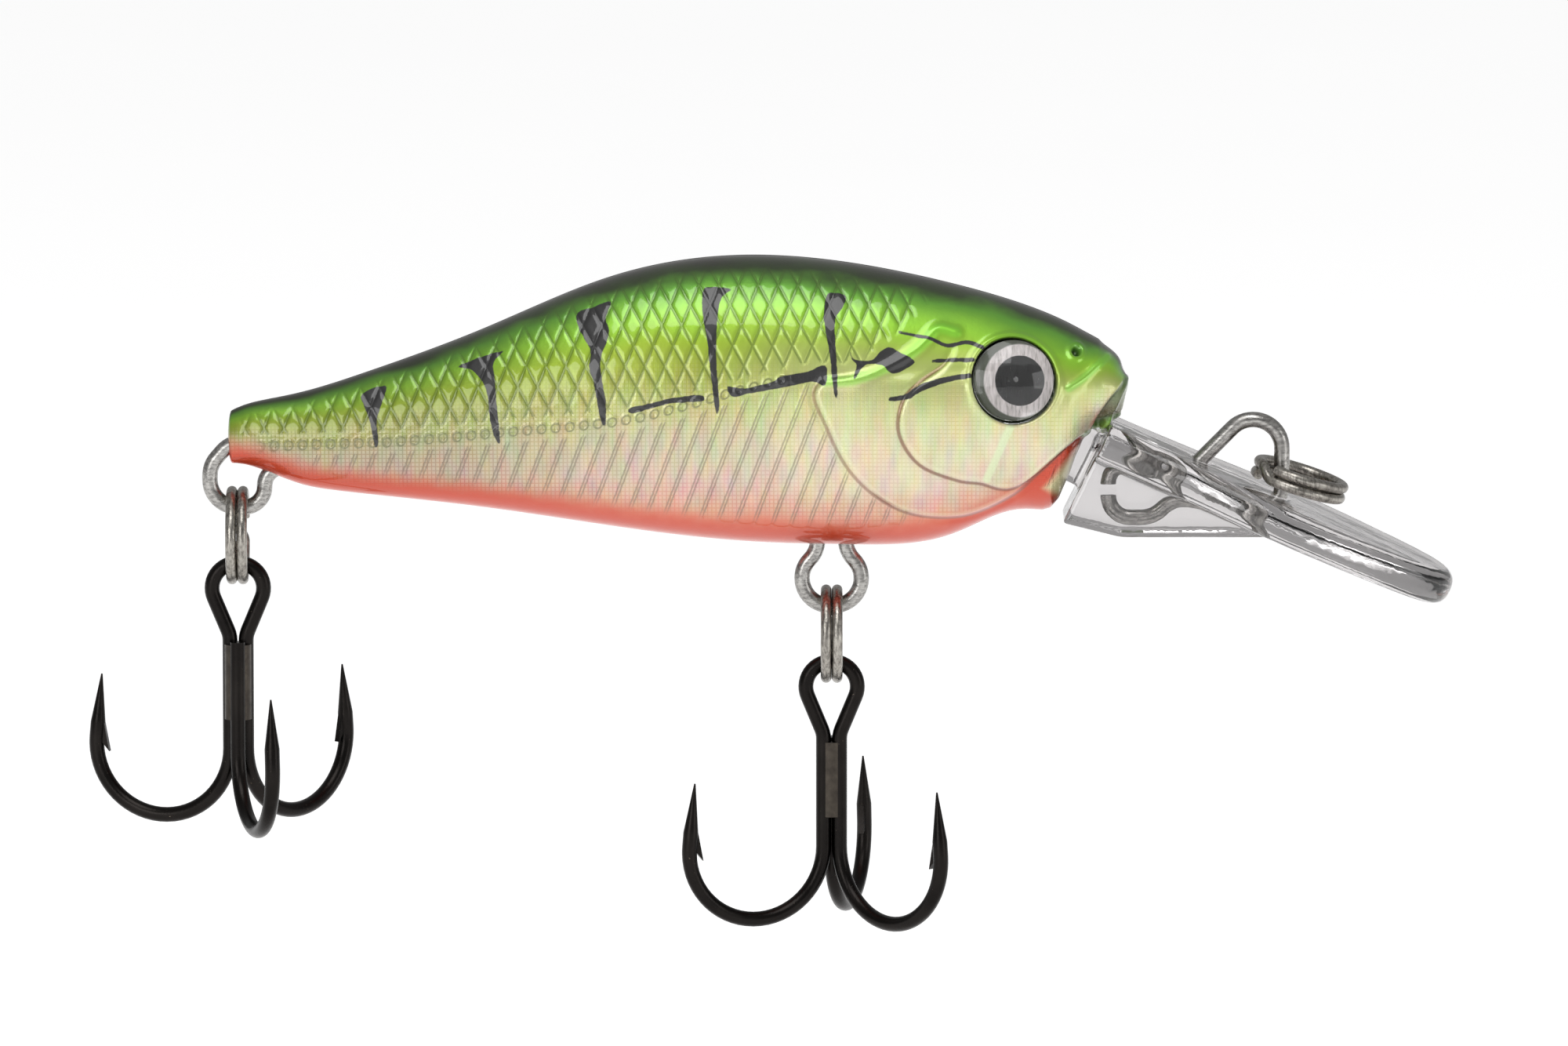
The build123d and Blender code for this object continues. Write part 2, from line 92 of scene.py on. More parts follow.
LATTICE_PITCH = 1.2           # between scale grooves, along the body
LATTICE_RISE, LATTICE_FALL = 0.55, 0.42
RISING_STRETCH, FALLING_STRETCH = 1.14, 1.085      # a groove's width along the body, over its width across
RIB_PITCH, RIB_LEAN = 1.12, 0.39
PORE_PITCH = 0.855            # between the rings of the lateral line
WEAVE_PITCH = 0.25            # of the mesh that is embossed in the foil
SOCKET_PLAY = 0.12            # from the eye's disc to the wall of its socket

# Relief on the skin: height above or depth below the plain form, and half width.
SCALE_DEPTH, SCALE_HALF = 0.05, 0.12
RIB_HEIGHT, RIB_HALF = 0.06, 0.14
PORE_RADIUS = 0.25
PORE_HEIGHT, PORE_RING_HALF = 0.085, 0.11
PORE_DEPTH, PORE_HALF = 0.05, 0.12
GILL_HEIGHT, GILL_GROOVE, GILL_GROOVE_AT, GILL_GROOVE_HALF = 0.20, 0.06, 0.22, 0.16
CHEEK_HEIGHT, CHEEK_GROOVE, CHEEK_GROOVE_AT, CHEEK_GROOVE_HALF = 0.14, 0.05, 0.16, 0.12
GILL_CREST_HEIGHT, GILL_CREST_HALF = 0.16, 0.32
JAW_CREST_HEIGHT, JAW_CREST_HALF = 0.15, 0.24
CHEEK_BAND_HEIGHT, CHEEK_BAND_HALF = 0.08, 0.25
MOUTH_DEPTH = 0.45
LIP_HEIGHT, LIP_HALF = 0.16, 0.26
NOSTRIL_DEPTH, NOSTRIL_RIM_HEIGHT, NOSTRIL_RIM_AT, NOSTRIL_RIM_HALF = 0.42, 0.1, 0.5, 0.16
EYE_RIM_HEIGHT, EYE_RIM_AT, EYE_RIM_HALF = 0.12, 0.22, 0.2
TIP_DROP, TIP_HALF = 0.3, 0.75
SEAM_DEPTH, SEAM_HALF = 0.03, 0.8          # the half width is counted in quads
SOCKET_FLOOR = -0.3

# Where the patterns and plates fade in: where there is nothing of them yet, and where they are full.
SCALES_FROM_LINE, SCALES_FROM_BACK = (0.55, 0.9), (0.5, 1.6)
SCALES_AT_TAIL, SCALES_AT_HEAD = (-61.9, -60.9), (-19.0, -21.5)
RIBS_FROM_LINE, RIBS_FROM_BELLY, RIBS_AT_TAIL = (-0.45, -0.8), (0.9, 1.8), (-58.5, -57.0)
PORES_AT_TAIL, PORES_AT_HEAD = (-60.6, -60.0), (-27.5, -28.5)
GILL_FADE, CHEEK_FADE = (4.9, 3.6), (6.4, 4.8)

tilt_cos = math.cos(math.radians(VIEW_ELEVATION))
tilt_sin = math.sin(math.radians(VIEW_ELEVATION))


# ---- The paint scheme, laid out on a side elevation of the flank: x along the body, v up it ------------

BARS = [
    [(-54.1, 3.3), (-52.7, 3.8), (-52.8, 3.0), (-53.2, 1.7), (-53.1, 0.4), (-53.3, 0.1), (-53.6, 1.6),
     (-53.9, 2.4)],
    [(-48.2, 5.0), (-45.6, 5.9), (-46.1, 5.2), (-46.0, 4.0), (-45.9, 2.6), (-45.7, 0.4), (-46.0, 0.6),
     (-46.3, 1.7), (-46.5, 3.4), (-46.9, 4.2), (-47.5, 4.8)],
    [(-41.0, 8.2), (-39.9, 8.6), (-39.0, 8.9), (-39.3, 7.9), (-39.1, 7.2), (-39.2, 6.5), (-39.6, 5.4),
     (-39.5, 4.0), (-39.3, 2.9), (-39.3, 1.4), (-39.6, 1.8), (-40.0, 3.9), (-40.3, 4.9), (-40.2, 5.9),
     (-40.7, 6.8), (-41.0, 7.5)],
    [(-33.4, 9.5), (-32.9, 9.75), (-31.7, 9.6), (-32.2, 9.2), (-32.5, 8.2), (-32.6, 5.7), (-32.5, 3.8),
     (-32.4, 2.6), (-32.6, 2.1), (-32.9, 4.2), (-33.1, 6.2), (-33.4, 8.0)],
    [(-25.9, 9.25), (-25.4, 9.4), (-24.8, 9.25), (-24.9, 8.6), (-25.4, 7.8), (-25.4, 6.4), (-25.3, 4.8),
     (-25.3, 3.1), (-25.5, 3.4), (-25.7, 5.4), (-25.9, 6.6), (-26.1, 8.0)],
    [(-37.8, 2.4), (-36.5, 2.7), (-35.3, 3.0), (-33.6, 3.2), (-33.3, 2.9), (-33.7, 2.8), (-35.3, 2.7),
     (-36.5, 2.4), (-37.7, 2.1)],
    [(-31.9, 3.7), (-30.9, 3.6), (-29.2, 4.0), (-28.7, 4.3), (-27.1, 4.6), (-26.0, 5.0), (-26.0, 3.8),
     (-26.8, 4.0), (-28.3, 3.7), (-30.6, 3.3), (-31.6, 3.1)],
    [(-24.5, 5.8), (-24.2, 5.35), (-23.2, 5.3), (-22.7, 5.8), (-22.1, 6.1), (-21.4, 5.7), (-20.6, 5.2),
     (-21.6, 4.55), (-22.1, 4.55), (-22.6, 5.0), (-23.6, 5.0), (-24.3, 4.1), (-24.1, 5.0), (-24.4, 5.3)],
]
WHISKERS = [    # centre line, and the line's half width at its start, middle and end
    ([(-21.5, 7.0), (-19.7, 6.6), (-18.6, 6.2), (-17.4, 6.4), (-16.5, 6.05)], (0.09, 0.11, 0.13)),
    ([(-19.5, 5.25), (-18.4, 5.3), (-17.1, 5.3)], (0.09, 0.11, 0.13)),
    ([(-22.1, 2.95), (-21.1, 3.1), (-20.3, 3.6), (-18.8, 4.1), (-17.3, 4.35)], (0.12, 0.2, 0.14)),
]
LATERAL_LINE = [(-62.0, 0.1), (-59.8, 0.14), (-52.4, 0.37), (-48.2, 0.7), (-44.8, 1.02), (-41.3, 1.3),
                (-38.8, 1.57), (-37.0, 1.88), (-34.4, 2.55), (-31.9, 3.28), (-29.5, 3.9), (-27.0, 4.4)]
GILL_EDGE = [(-24.2, 4.6), (-26.6, 3.6), (-25.9, 1.3), (-24.6, -1.2), (-22.75, -3.0), (-20.5, -4.0),
             (-17.6, -4.05), (-14.9, -2.95), (-13.4, -1.75), (-11.4, 0.1), (-10.15, 1.15)]
CHEEK_EDGE = [(-18.1, 6.2), (-18.8, 5.0), (-20.3, 3.9), (-21.3, 2.75), (-21.5, 0.9), (-20.3, -0.9),
              (-18.1, -1.8), (-16.6, -2.0), (-15.5, -2.3), (-14.5, -2.2), (-13.1, -1.4), (-11.1, 0.4),
              (-10.15, 1.2)]
NOSE_SIDE = [(-6.0, 3.0), (-6.0, 12.0), (-16.0, 12.0)]
GILL_CREST = [(-26.05, 4.07), (-24.4, 4.1), (-22.2, 4.9), (-20.7, 5.8), (-20.0, 6.4), (-19.2, 7.2),
              (-18.1, 7.0)]
JAW_CREST = [(-11.4, 3.6), (-10.3, 4.35), (-8.95, 5.5)]
CHEEK_BAND = [(-14.9, 1.3), (-15.5, 0.0), (-16.3, -1.7)]
MOUTH = [(-7.7, 4.5), (-8.9, 3.1), (-10.15, 1.35), (-9.4, 1.2), (-8.2, 1.9), (-6.5, 2.2), (-6.5, 4.3)]
LOWER_LIP = [(-10.3, 0.95), (-9.3, 1.3), (-8.3, 1.75)]
THROAT_PANEL = [(-9.9, 1.2), (-11.2, -0.3), (-13.0, -2.45), (-12.2, -2.95), (-11.2, -3.3), (-9.0, -1.0)]
NOSTRIL = (-10.8, 5.85)
NOSTRIL_STRETCH = 0.85        # its length over its height
NOSE_TIP = (-7.4, 4.8)
FAR = 5.0                     # the distance given to points that aren't near an outline


# ---- Small tools ---------------------------------------------------------------------------------------

def smoothstep(low, high, value):
    share = np.clip((value - low) / (high - low), 0, 1)
    return share * share * (3 - 2 * share)


def curve_through(points, closed=False, steps=6):
    """A smooth line through the points (Catmull-Rom)."""
    points = np.array(points, float)
    if closed:
        ring = np.vstack([points[-1:], points, points[:2]])
    else:
        ring = np.vstack([2 * points[0] - points[1], points, 2 * points[-1] - points[-2]])
    line = []
    for before, start, end, after in zip(ring, ring[1:], ring[2:], ring[3:]):
        for share in np.arange(steps) / steps:
            line.append(0.5 * (2 * start + (end - before) * share
                               + (2 * before - 5 * start + 4 * end - after) * share ** 2
                               + (3 * start - before - 3 * end + after) * share ** 3))
    if not closed:
        line.append(points[-1])
    return np.array(line)


def distance_to_line(x, v, line, closed=False):
    """How far each point is from a line, and how far along it the nearest place is (0 to 1)."""
    nearest = np.full(x.shape, 1e3)
    place = np.zeros(x.shape)
    ends = np.roll(line, -1, axis=0) if closed else line[1:]
    count = len(ends)
    for index, (start, end) in enumerate(zip(line, ends)):
        run = end - start
        along = ((x - start[0]) * run[0] + (v - start[1]) * run[1]) / max(run @ run, 1e-12)
        along = np.clip(along, 0, 1)
        gap = np.hypot(x - start[0] - along * run[0], v - start[1] - along * run[1])
        closer = gap < nearest
        nearest = np.where(closer, gap, nearest)
        place = np.where(closer, (index + along) / count, place)
    return nearest, place


def distance_to_outline(x, v, outline):
    """The distance to a closed outline, negative inside."""
    gap, _ = distance_to_line(x, v, outline, closed=True)
    inside = np.zeros(x.shape, bool)
    for start, end in zip(outline, np.roll(outline, -1, axis=0)):
        if start[1] == end[1]:
            continue
        crosses = (start[1] > v) != (end[1] > v)
        crossing = start[0] + (v - start[1]) * (end[0] - start[0]) / (end[1] - start[1])
        inside ^= crosses & (x < crossing)
    return np.where(inside, -gap, gap)


def near(x, v, outline, margin, measure):
    """Measures only the points near an outline; the rest are given the distance FAR."""
    low, high = outline.min(axis=0) - margin, outline.max(axis=0) + margin
    close = (x > low[0]) & (x < high[0]) & (v > low[1]) & (v < high[1])
    result = np.full(x.shape, FAR)
    result[close] = measure(x[close], v[close])
    return result


def swell(distance, width):
    """A round ridge of height 1, fading out at about the width from its middle."""
    return np.exp(-(distance / width) ** 2)


def node_mesh(name):
    return frame["nodes"][name].data


def node_tree(name):
    """A search tree of a CAD node, in millimetres."""
    mesh = node_mesh(name)
    corners = [vertex.co / MM for vertex in mesh.vertices]
    return BVHTree.FromPolygons(corners, [tuple(face.vertices) for face in mesh.polygons])


def node_box(name):
    low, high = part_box(name)
    return low / MM, high / MM


# ---- Shader tools: node maths that reads as a formula --------------------------------------------------

class Field:
    """A number or colour that varies over a surface: one output of a node."""

    def __init__(self, tree, socket):
        self.tree = tree
        self.socket = socket

    def maths(self, operation, other=None):
        node = self.tree.nodes.new("ShaderNodeMath")
        node.operation = operation
        feed(self.tree, self, node.inputs[0])
        if other is not None:
            feed(self.tree, other, node.inputs[1])
        return Field(self.tree, node.outputs[0])

    def __add__(self, other):
        return self.maths("ADD", other)

    def __sub__(self, other):
        return self.maths("SUBTRACT", other)

    def __mul__(self, other):
        return self.maths("MULTIPLY", other)

    def __truediv__(self, other):
        return self.maths("DIVIDE", other)

    def __abs__(self):
        return self.maths("ABSOLUTE")

    def fraction(self):
        return self.maths("FRACT")

    def root(self):
        return self.maths("SQRT")

    def least(self, other):
        return self.maths("MINIMUM", other)

    def most(self, other):
        return self.maths("MAXIMUM", other)

    def flipped(self):
        return self * -1 + 1

    def step(self, low, high):
        """0 below low, 1 above high, and smooth between them."""
        node = self.tree.nodes.new("ShaderNodeMapRange")
        node.interpolation_type = "SMOOTHSTEP"
        feed(self.tree, self, node.inputs["Value"])
        node.inputs["From Min"].default_value = low
        node.inputs["From Max"].default_value = high
        return Field(self.tree, node.outputs["Result"])

    def scaled(self, low, high):
        """Takes 0 to 1 onto low to high."""
        return self * (high - low) + low


def feed(tree, value, socket):
    if isinstance(value, Field):
        tree.links.new(value.socket, socket)
    else:
        socket.default_value = value


def paint(red, green, blue):
    """A screen colour (0 to 255) as the light it stands for."""
    channels = [channel / 255 for channel in (red, green, blue)]
    return tuple(c / 12.92 if c < 0.04045 else ((c + 0.055) / 1.055) ** 2.4 for c in channels) + (1.0,)


class Finish:
    """A material with one Principled shader, and the fields that feed it."""

    def __init__(self, name, **settings):
        self.material = bpy.data.materials.new(name)
        self.material.use_nodes = True
        self.tree = self.material.node_tree
        self.shader = self.tree.nodes["Principled BSDF"]
        self.last_bump = None
        for socket, value in settings.items():
            self.set(socket.replace("_", " "), value)

    def set(self, socket, value):
        feed(self.tree, value, self.shader.inputs[socket])

    def position(self):
        """x, y and z in millimetres, moving with the piece."""
        place = self.tree.nodes.new("ShaderNodeTexCoord")
        split = self.tree.nodes.new("ShaderNodeSeparateXYZ")
        self.tree.links.new(place.outputs["Object"], split.inputs[0])
        return [Field(self.tree, output) * PER_METRE for output in split.outputs]

    def measured(self, name):
        """A field that is stored on the mesh."""
        node = self.tree.nodes.new("ShaderNodeAttribute")
        node.attribute_name = name
        return Field(self.tree, node.outputs["Fac"])

    def noise(self, size, stretch=(1, 1, 1), detail=3.0, roughness=0.5, output="Fac"):
        """Noise whose blobs are about size millimetres across."""
        coords = self.tree.nodes.new("ShaderNodeTexCoord")
        mapping = self.tree.nodes.new("ShaderNodeMapping")
        mapping.inputs["Scale"].default_value = [PER_METRE / (size * along) for along in stretch]
        node = self.tree.nodes.new("ShaderNodeTexNoise")
        node.inputs["Scale"].default_value = 1.0
        node.inputs["Detail"].default_value = detail
        node.inputs["Roughness"].default_value = roughness
        self.tree.links.new(coords.outputs["Object"], mapping.inputs[0])
        self.tree.links.new(mapping.outputs[0], node.inputs["Vector"])
        return Field(self.tree, node.outputs[output])

    def mix(self, factor, first, second, kind="MIX"):
        node = self.tree.nodes.new("ShaderNodeMix")
        node.data_type = "RGBA"
        node.blend_type = kind
        feed(self.tree, factor, node.inputs[0])
        feed(self.tree, first, node.inputs[6])
        feed(self.tree, second, node.inputs[7])
        return Field(self.tree, node.outputs[2])

    def ramp(self, value, stops):
        node = self.tree.nodes.new("ShaderNodeValToRGB")
        feed(self.tree, value, node.inputs[0])
        elements = node.color_ramp.elements
        while len(elements) < len(stops):
            elements.new(0.5)
        for element, (place, colour) in zip(elements, stops):
            element.position = place
            element.color = colour
        return Field(self.tree, node.outputs["Color"])

    def bump(self, height, depth):
        """Raises the surface by height (0 to 1) times depth, in millimetres."""
        node = self.tree.nodes.new("ShaderNodeBump")
        node.inputs["Distance"].default_value = depth * MM
        feed(self.tree, height, node.inputs["Height"])
        if self.last_bump:
            self.tree.links.new(self.last_bump, node.inputs["Normal"])
        self.last_bump = node.outputs[0]
        self.tree.links.new(self.last_bump, self.shader.inputs["Normal"])


# ---- The fish's form, measured on the CAD shells -------------------------------------------------------

def eye_frame():
    """The centre of the right eye's disc, and its outward axis."""
    spots = np.array([vertex.co for vertex in node_mesh("right_eye_disc").vertices]) / MM
    centre = (spots.min(axis=0) + spots.max(axis=0)) / 2
    _, _, axes = np.linalg.svd(spots - centre)
    axis = axes[2] * -np.sign(axes[2][1])
    return centre, axis


EYE_CENTRE, EYE_AXIS = eye_frame()
eye_low, eye_high = node_box("right_eye_disc")
EYE_RADIUS = (eye_high.z - eye_low.z) / 2
SOCKET_RADIUS = EYE_RADIUS + SOCKET_PLAY


def smooth_fill(values, good):
    places = np.arange(len(values))
    return np.interp(places, places[good], values[good])


def softened(values, rounds):
    for _ in range(rounds):
        values[1:-1] = (values[:-2] + 2 * values[1:-1] + values[2:]) / 4
    return values


RAY_HEIGHTS = (-0.5, -0.35, -0.2, 0.0, 0.2, 0.35, 0.5, 0.65, 0.8)    # shares of the section's half height
OUTSIDE = 40.0                # rays start this far out
BESIDE_SEAM = 0.06            # and this far to the side of the middle plane
CLEAR_OF_EYE, CLEAR_OF_FACE = 0.25, 0.1


def section_width(tree, x, top, bottom):
    """Half the width of the elliptical section at x, from rays that miss the eye and the slanted face."""
    middle, reach = (top + bottom) / 2, (top - bottom) / 2
    widths = []
    for share in RAY_HEIGHTS:
        z = middle + share * reach
        in_socket = math.hypot(x - EYE_CENTRE[0], z - EYE_CENTRE[2]) < SOCKET_RADIUS + CLEAR_OF_EYE
        if in_socket or x > FACE_X + FACE_SLOPE * z - CLEAR_OF_FACE:
            continue
        hit = tree.ray_cast(Vector((x, -OUTSIDE, z)), Vector((0, 1, 0)))[0]
        if hit:
            widths.append(-hit.y / math.sqrt(1 - share * share))
    return np.median(widths) if widths else np.nan


def measure_form(step=0.5):
    """Top, bottom and half width of the body at stations along it, from rays shot at the right shell."""
    tree = node_tree("right_body_shell")
    hangers = [node_tree("belly_hanger"), node_tree("tail_hanger")]
    low, high = node_box("right_body_shell")
    nose_start = high.x - 2
    behind = np.arange(low.x + 0.05, nose_start, step)
    stations = np.concatenate([behind, np.linspace(nose_start, high.x - 0.02, 14)])
    top, bottom = np.full(stations.shape, np.nan), np.full(stations.shape, np.nan)
    for index, x in enumerate(stations):
        top[index] = tree.ray_cast(Vector((x, -BESIDE_SEAM, OUTSIDE)), Vector((0, 0, -1)))[0].z
        under = tree.ray_cast(Vector((x, -BESIDE_SEAM, -OUTSIDE)), Vector((0, 0, 1)))[0]
        beside_hanger = any(hanger.find_nearest(under)[3] < 0.6 for hanger in hangers)
        if not beside_hanger and x < FACE_X + FACE_SLOPE * under.z - 0.3:
            bottom[index] = under.z
    bottom = smooth_fill(bottom, np.isfinite(bottom))
    half = np.array([section_width(tree, x, *ends) for x, *ends in zip(stations, top, bottom)])
    return stations, top, bottom, smooth_fill(half, np.isfinite(half))


def face_line():
    """The slanted face: x at z = 0, and how much x grows with z."""
    slanted = [face for face in node_mesh("right_body_shell").polygons
               if 0.8 < face.normal.x < 0.97 and face.normal.z < -0.3 and face.area > 0.05 * MM * MM]
    foremost = max(slanted, key=lambda face: face.normal.dot(face.center))
    normal, spot = foremost.normal, foremost.center / MM
    return spot.x + spot.z * normal.z / normal.x, -normal.z / normal.x


FACE_X, FACE_SLOPE = face_line()
form_x, form_top, form_bottom, form_half = measure_form()


def form_at(x):
    """Centre height, half height and half width of the section at x."""
    nose_drop = (smooth_top[-2] - smooth_top[-1]) / (form_x[-1] - form_x[-2])
    top = np.interp(x, form_x, smooth_top) - np.clip(x - form_x[-1], 0, 1) * nose_drop
    bottom = np.interp(x, form_x, smooth_bottom)
    return (top + bottom) / 2, (top - bottom) / 2, np.interp(x, form_x, smooth_half)


smooth_top, smooth_bottom, smooth_half = (softened(v.copy(), 3) for v in (form_top, form_bottom, form_half))


SECTION_SHAPE = 1.65          # height of a section over its width, for spacing the spokes


def spoke_angles():
    """Angles from back to belly, evenly spaced along the skin."""
    angles = np.linspace(0, math.pi, 2000)
    steps = np.hypot(SECTION_SHAPE * np.sin(angles), np.cos(angles))
    travelled = np.concatenate([[0], np.cumsum((steps[1:] + steps[:-1]) / 2)])
    return np.interp(np.linspace(0, travelled[-1], SPOKES + 1), travelled, angles)


def body_grid():
    """The plain right flank: a grid of points from the tail to the face, and from the back to the belly."""
    tail_x = node_box("right_body_shell")[0].x + 0.28
    angles = spoke_angles()
    ends = np.full(len(angles), FACE_X)
    for _ in range(30):       # closes in on where each spoke meets the face
        centre, tall, _ = form_at(ends)
        ends = 0.5 * ends + 0.5 * (FACE_X + FACE_SLOPE * (centre + tall * np.cos(angles)))
    along = np.linspace(0, 1, STATIONS + 1)[:, None]
    straight = tail_x + (ends.mean() - tail_x) * along
    lean = smoothstep(0.7, 1.0, along) * (ends - ends.mean())
    x = straight + lean * along
    x[-1] = ends
    centre, tall, half = form_at(x)
    y = -half * np.sin(angles)
    z = centre + tall * np.cos(angles)
    return np.stack([x, y, z], axis=-1)


def grid_normals(grid):
    along = np.gradient(grid, axis=0)
    around = np.gradient(grid, axis=1)
    normal = np.cross(along, around)
    normal /= np.maximum(np.linalg.norm(normal, axis=-1, keepdims=True), 1e-9)
    return normal


def elevation_of(points):
    """Where points of the right flank stand on the side elevation."""
    return points[..., 0], points[..., 2] * tilt_cos - np.abs(points[..., 1]) * tilt_sin


# ---- Fields over the flank: where each marking and each ridge is ---------------------------------------

def line_groove(phase, pitch, slope, width):
    """Grooves at every pitch of the phase; the slope turns its distance into a distance across the groove."""
    across = (np.abs((phase / pitch) % 1 - 0.5)) * pitch / math.hypot(1, slope)
    return swell(across, width)


def flank_fields(points):
    """Every measure of the paint and relief, at each point."""
    x, v = elevation_of(points)
    top, bottom = v.max(axis=1, keepdims=True), v.min(axis=1, keepdims=True)
    fields = {"band": (top - v) / np.maximum(top - bottom, 0.1), "above_belly": v - bottom}

    black = np.full(x.shape, FAR)
    for outline in BARS:
        shape = curve_through(outline, closed=True, steps=4)
        black = np.minimum(black, near(x, v, shape, 1.5, lambda px, pv: distance_to_outline(px, pv, shape)))
    for centre_line, halves in WHISKERS:
        line = curve_through(centre_line)

        def stroke(px, pv):
            gap, place = distance_to_line(px, pv, line)
            return gap - np.interp(place, (0, 0.5, 1), halves)

        black = np.minimum(black, near(x, v, line, 1.5, stroke))
    fields["black"] = black

    lateral = np.array(LATERAL_LINE)
    fields["above_line"] = v - np.interp(x, lateral[:, 0], lateral[:, 1])
    gill = np.vstack([curve_through(GILL_EDGE), NOSE_SIDE])
    fields["gill"] = distance_to_outline(x, v, gill)
    cheek = np.vstack([curve_through(CHEEK_EDGE), NOSE_SIDE])
    fields["cheek"] = distance_to_outline(x, v, cheek)
    fields["gill_crest"] = distance_to_line(x, v, curve_through(GILL_CREST))[0]
    fields["jaw_crest"] = distance_to_line(x, v, curve_through(JAW_CREST))[0]
    fields["cheek_band"] = distance_to_line(x, v, curve_through(CHEEK_BAND))[0]
    fields["mouth"] = distance_to_outline(x, v, np.array(MOUTH))
    fields["lip"] = distance_to_line(x, v, curve_through(LOWER_LIP))[0]
    fields["throat"] = distance_to_outline(x, v, np.array(THROAT_PANEL))
    fields["nostril"] = np.hypot((x - NOSTRIL[0]) / NOSTRIL_STRETCH, v - NOSTRIL[1])

    offset = points - EYE_CENTRE
    lift = offset @ EYE_AXIS
    fields["eye"] = np.linalg.norm(offset - lift[..., None] * EYE_AXIS, axis=-1)
    fields["eye_lift"] = lift

    behind_head = smoothstep(-0.05, 0.5, fields["gill"])
    above = fields["above_line"]
    tail_end = smoothstep(*SCALES_AT_TAIL, x)
    fields["scale_zone"] = (smoothstep(*SCALES_FROM_LINE, above) * behind_head * tail_end
                            * smoothstep(*SCALES_FROM_BACK, top - v) * smoothstep(*SCALES_AT_HEAD, x))
    fields["rib_zone"] = (smoothstep(*RIBS_FROM_LINE, above) * behind_head * smoothstep(*RIBS_AT_TAIL, x)
                          * smoothstep(*RIBS_FROM_BELLY, v - bottom))
    fields["pore_zone"] = smoothstep(*PORES_AT_TAIL, x) * smoothstep(*PORES_AT_HEAD, x)
    return x, v, fields


def relief(x, v, fields):
    """How far the skin stands out of the plain form, in millimetres."""
    scales = np.maximum(line_groove(x + LATTICE_RISE * v, LATTICE_PITCH, LATTICE_RISE, SCALE_HALF),
                        line_groove(x - LATTICE_FALL * v, LATTICE_PITCH, LATTICE_FALL, SCALE_HALF))
    height = -SCALE_DEPTH * scales * fields["scale_zone"]
    ribs = line_groove(x - RIB_LEAN * v, RIB_PITCH, RIB_LEAN, RIB_HALF)
    height += RIB_HEIGHT * ribs * fields["rib_zone"]
    pores = np.hypot((x / PORE_PITCH % 1 - 0.5) * PORE_PITCH, fields["above_line"])
    height += (PORE_HEIGHT * swell(pores - PORE_RADIUS, PORE_RING_HALF)
               - PORE_DEPTH * swell(pores, PORE_HALF)) * fields["pore_zone"]

    # the gill plate and the cheek: a step at the edge, with a groove just outside it, fading out at the top
    gill, cheek = fields["gill"], fields["cheek"]
    gill_share, cheek_share = smoothstep(*GILL_FADE, v), smoothstep(*CHEEK_FADE, v)
    height += gill_share * (GILL_HEIGHT * smoothstep(0.12, -0.3, gill)
                            - GILL_GROOVE * swell(gill - GILL_GROOVE_AT, GILL_GROOVE_HALF))
    height += cheek_share * (CHEEK_HEIGHT * smoothstep(0.1, -0.22, cheek)
                             - CHEEK_GROOVE * swell(cheek - CHEEK_GROOVE_AT, CHEEK_GROOVE_HALF))
    height += GILL_CREST_HEIGHT * swell(fields["gill_crest"], GILL_CREST_HALF)
    height += JAW_CREST_HEIGHT * swell(fields["jaw_crest"], JAW_CREST_HALF)
    height += CHEEK_BAND_HEIGHT * swell(fields["cheek_band"], CHEEK_BAND_HALF)

    # the mouth, the nostril and the eye's rim
    nostril = fields["nostril"]
    height -= MOUTH_DEPTH * smoothstep(0.05, -0.3, fields["mouth"])
    height += LIP_HEIGHT * swell(fields["lip"], LIP_HALF)
    height -= NOSTRIL_DEPTH * smoothstep(0.36, 0.14, nostril)
    height += NOSTRIL_RIM_HEIGHT * swell(nostril - NOSTRIL_RIM_AT, NOSTRIL_RIM_HALF)
    height += EYE_RIM_HEIGHT * swell(fields["eye"] - SOCKET_RADIUS - EYE_RIM_AT, EYE_RIM_HALF)
    tip = np.hypot(x - NOSE_TIP[0], v - NOSE_TIP[1])
    return height * smoothstep(0.2, 1.8, tip) - TIP_DROP * swell(tip, TIP_HALF)


def sink_socket(points, fields):
    """Presses the round eye socket into the skin, with an upright wall."""
    share = smoothstep(SOCKET_RADIUS - 0.1, SOCKET_RADIUS + 0.06, fields["eye"])
    target = SOCKET_FLOOR + (fields["eye_lift"] - SOCKET_FLOOR) * share
    inside = fields["eye"] < SOCKET_RADIUS + 0.07
    move = np.where(inside, target - fields["eye_lift"], 0)
    return points + move[..., None] * EYE_AXIS


# ---- The skin meshes -----------------------------------------------------------------------------------

def face_cap(rim):
    """The slanted face, crowned forward inside the mouth, from the rim to the seam."""
    rows = []
    for step in range(1, FACE_STEPS + 1):
        share = step / FACE_STEPS
        row = rim.copy()
        row[:, 1] = rim[:, 1] * (1 - share)
        edge = np.sin(np.linspace(0, math.pi, len(rim)))
        inner = smoothstep(0, 0.6, share) * smoothstep(0.0, 0.25, edge)
        below_nose = np.clip(rim[:, 2].max() - row[:, 2], 0, CROWN_REACH)
        row[:, 0] += CROWN * inner * below_nose * smoothstep(1.6, 2.2, row[:, 2])
        rows.append(row)
    return np.array(rows)


def tail_cap(rim):
    """Rounds the tail end off, from the rim in to a point."""
    centre = np.array([0, 0, (rim[0, 2] + rim[-1, 2]) / 2])
    rows = []
    for step in range(1, TAIL_STEPS + 1):
        turn = math.pi / 2 * step / TAIL_STEPS
        row = rim.copy()
        row[:, 1:] = centre[1:] + (rim[:, 1:] - centre[1:]) * max(math.cos(turn), 0.02)
        row[:, 0] -= TAIL_ROUNDING * math.sin(turn)
        rows.append(row)
    return np.array(rows[::-1])


